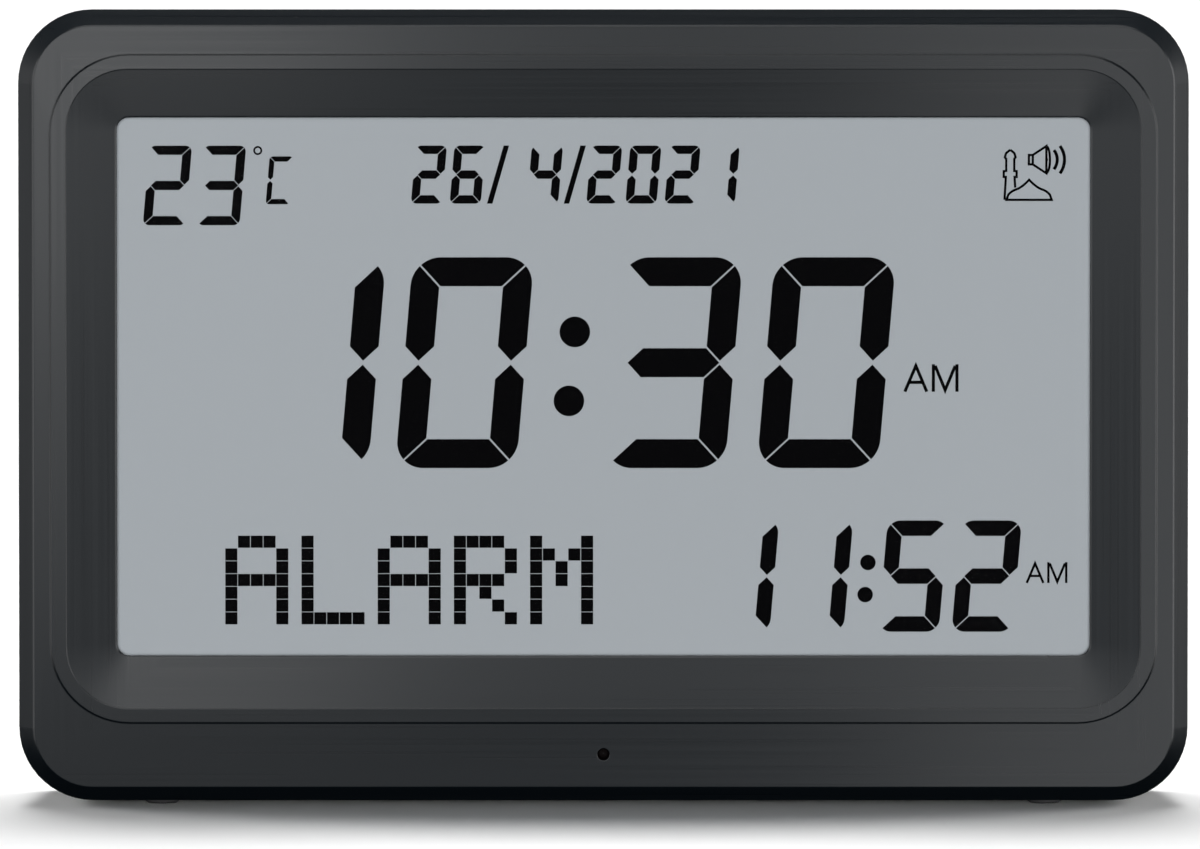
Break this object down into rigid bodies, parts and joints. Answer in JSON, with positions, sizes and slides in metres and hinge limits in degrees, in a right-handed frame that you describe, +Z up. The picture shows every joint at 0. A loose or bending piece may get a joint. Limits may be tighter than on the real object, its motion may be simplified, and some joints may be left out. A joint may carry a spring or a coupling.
{
  "type": "prayer-time alarm clock",
  "caption": "Landscape desk and wall prayer-time clock: wide reflective LCD in a dished bezel, buttons, speaker grille, battery bay, keyholes and fold-out stand behind.",
  "frame": {"origin": "on the table plane under the feet, at the middle of the clock's width and depth", "axes": "+Z up, the display faces -Y, +X is to the right seen from the front"},
  "size_m": [0.225, 0.034, 0.1535],
  "materials": {
    "board_green": "satin",
    "button_grey": "satin",
    "can_blue": "satin",
    "case_black": "fine satin",
    "cell_label": "satin",
    "chip_black": "matt",
    "cone_paper": "matt",
    "cover_black": "fine grained",
    "film_grey": "satin",
    "foam_black": "matt",
    "lcd_glass": "polished",
    "lcd_ground": "matt grey",
    "lens_clear": "polished",
    "nickel": "polished",
    "pink_strip": "matt",
    "ribbon_grey": "satin",
    "rubber_black": "matt",
    "sensor_clear": "polished",
    "steel": "satin",
    "white_plastic": "matt",
    "wire_red_black": "satin"
  },
  "bodies": {
    "clock": {"battery_leads": "wire_red_black", "battery_lower": "cell_label", "battery_middle": "cell_label", "battery_plates": "nickel", "battery_springs": "nickel", "battery_upper": "cell_label", "board_capacitors": "can_blue", "board_chips": "chip_black", "board_connectors": "white_plastic", "board_screws": "steel", "case_screws": "steel", "clock_crystal": "nickel", "display_lens": "lens_clear", "elastomer_strip": "pink_strip", "feet": "rubber_black", "front_bezel": "case_black", "front_polariser": "film_grey", "key_board": "board_green", "key_board_screws": "steel", "key_ribbon": "ribbon_grey", "lcd_front_glass": "lcd_glass", "lcd_rear_glass": "lcd_glass", "lcd_reflector": "lcd_ground", "lcd_retainer": "white_plastic", "lens_gasket": "foam_black", "light_sensor": "sensor_clear", "main_board": "board_green", "processor_chip": "chip_black", "rear_cover": "cover_black", "selector_switch": "chip_black", "sensor_board": "board_green", "sensor_ribbon": "ribbon_grey", "sensor_sleeve": "rubber_black", "speaker_basket": "steel", "speaker_cone": "cone_paper", "speaker_gasket": "foam_black", "speaker_leads": "wire_red_black", "speaker_magnet": "chip_black", "speaker_screws": "steel", "stand_pin": "steel", "switch_bodies": "chip_black"},
    "stand": {"stand_leg": "cover_black", "stand_pad": "rubber_black"},
    "door": {"battery_door": "cover_black"},
    "selector": {"selector_knob": "button_grey"},
    "key_mode": {"button_mode": "button_grey", "plunger_mode": "white_plastic"},
    "key_set": {"button_set": "button_grey", "plunger_set": "white_plastic"},
    "key_up": {"button_up": "button_grey", "plunger_up": "white_plastic"},
    "key_down": {"button_down": "button_grey", "plunger_down": "white_plastic"},
    "key_play": {"button_play": "button_grey", "plunger_play": "white_plastic"},
    "key_light": {"button_light": "button_grey", "plunger_light": "white_plastic"}
  },
  "joints": [
    {"name": "stand_hinge", "type": "hinge", "parent": "clock", "child": "stand", "pos_m": [0, 0.014, 0.0908], "axis": [1, 0, 0], "range_deg": [0, 24]},
    {"name": "battery_door_hinge", "type": "hinge", "parent": "clock", "child": "door", "pos_m": [0.066, 0.0155, 0.08555], "axis": [1, 0, 0], "range_deg": [0, 85]},
    {"name": "selector_slide", "type": "slide", "parent": "clock", "child": "selector", "axis": [1, 0, 0], "range_m": [0, 0.003]},
    {"name": "press_mode", "type": "slide", "parent": "clock", "child": "key_mode", "axis": [0, -1, 0], "range_m": [0, 0.0005], "stiffness_N_per_m": 300, "springref_m": -0.0002},
    {"name": "press_set", "type": "slide", "parent": "clock", "child": "key_set", "axis": [0, -1, 0], "range_m": [0, 0.0005], "stiffness_N_per_m": 300, "springref_m": -0.0002},
    {"name": "press_up", "type": "slide", "parent": "clock", "child": "key_up", "axis": [0, -1, 0], "range_m": [0, 0.0005], "stiffness_N_per_m": 300, "springref_m": -0.0002},
    {"name": "press_down", "type": "slide", "parent": "clock", "child": "key_down", "axis": [0, -1, 0], "range_m": [0, 0.0005], "stiffness_N_per_m": 300, "springref_m": -0.0002},
    {"name": "press_play", "type": "slide", "parent": "clock", "child": "key_play", "axis": [0, -1, 0], "range_m": [0, 0.0005], "stiffness_N_per_m": 300, "springref_m": -0.0002},
    {"name": "press_light", "type": "slide", "parent": "clock", "child": "key_light", "axis": [0, -1, 0], "range_m": [0, 0.0005], "stiffness_N_per_m": 300, "springref_m": -0.0002}
  ]
}
